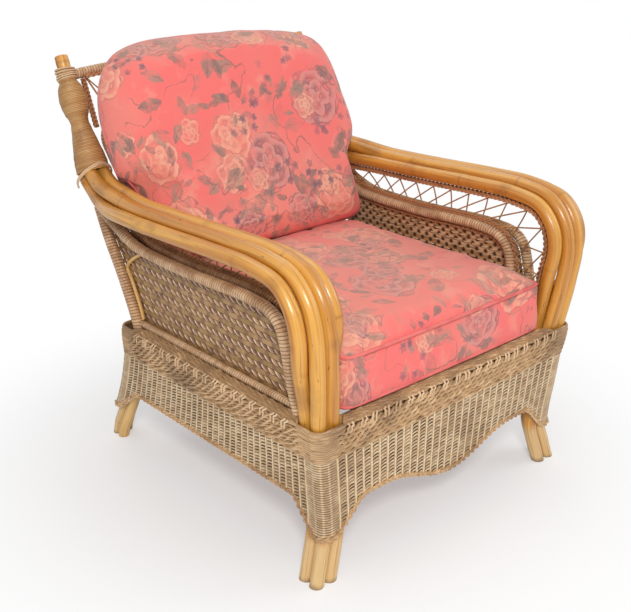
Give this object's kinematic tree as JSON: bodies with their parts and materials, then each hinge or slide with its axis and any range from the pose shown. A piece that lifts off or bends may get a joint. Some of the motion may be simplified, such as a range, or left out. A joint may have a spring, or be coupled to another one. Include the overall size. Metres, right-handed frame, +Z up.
{
  "type": "armchair",
  "caption": "Old rattan lounge armchair: bundled poles bend over as arms, wicker wraps the seat, sides and back, and loose floral cushions fill it.",
  "frame": {"origin": "on the floor, under the centre of the whole chair's outline seen from above", "axes": "+Z up; the sitter faces -Y; +X is the side on the right in a view from the front"},
  "size_m": [0.7988, 0.8746, 0.897],
  "materials": {
    "polished_rattan": "glossy honey varnish, worn",
    "bare_rattan": "satin",
    "wrapped_rattan": "satin cane wrapping",
    "wicker": "matte woven fibre",
    "dark_cane": "satin",
    "cushion_fabric": "matte cotton with a faded floral print"
  },
  "bodies": {
    "root": {"arm_braid_left": "wicker", "arm_braid_right": "wicker", "arm_pole_inner_left": "polished_rattan", "arm_pole_inner_right": "polished_rattan", "arm_pole_outer_left": "polished_rattan", "arm_pole_outer_right": "polished_rattan", "arm_pole_upper_inner_left": "polished_rattan", "arm_pole_upper_inner_right": "polished_rattan", "arm_pole_upper_outer_left": "polished_rattan", "arm_pole_upper_outer_right": "polished_rattan", "back_cushion": "cushion_fabric", "back_frame": "wrapped_rattan", "back_lattice": "dark_cane", "back_leg_pole_corner_left": "bare_rattan", "back_leg_pole_corner_right": "bare_rattan", "back_leg_pole_inner_left": "bare_rattan", "back_leg_pole_inner_right": "bare_rattan", "back_leg_stile_left": "wrapped_rattan", "back_leg_stile_right": "wrapped_rattan", "back_panel": "wicker", "back_top_rail": "wrapped_rattan", "panel_edging_left": "bare_rattan", "panel_edging_right": "bare_rattan", "panel_strip_left": "wrapped_rattan", "panel_strip_right": "wrapped_rattan", "post_binding_left": "wrapped_rattan", "post_binding_right": "wrapped_rattan", "post_braid_left": "wicker", "post_braid_right": "wicker", "post_pole_left": "polished_rattan", "post_pole_right": "polished_rattan", "seat_cushion": "cushion_fabric", "seat_rail_back": "bare_rattan", "seat_rail_front": "bare_rattan", "seat_rail_left": "bare_rattan", "seat_rail_right": "bare_rattan", "seat_slat_1": "bare_rattan", "seat_slat_2": "bare_rattan", "seat_slat_3": "bare_rattan", "seat_slat_4": "bare_rattan", "seat_slat_5": "bare_rattan", "seat_slat_6": "bare_rattan", "seat_slat_7": "bare_rattan", "side_arch_inner_left": "wrapped_rattan", "side_arch_inner_right": "wrapped_rattan", "side_arch_outer_left": "wrapped_rattan", "side_arch_outer_right": "wrapped_rattan", "side_lattice_left": "dark_cane", "side_lattice_right": "dark_cane", "side_panel_left": "wicker", "side_panel_right": "wicker", "skirt_border": "wicker", "skirt_hem_braid": "wicker", "skirt_weave": "wicker"}
  },
  "joints": []
}
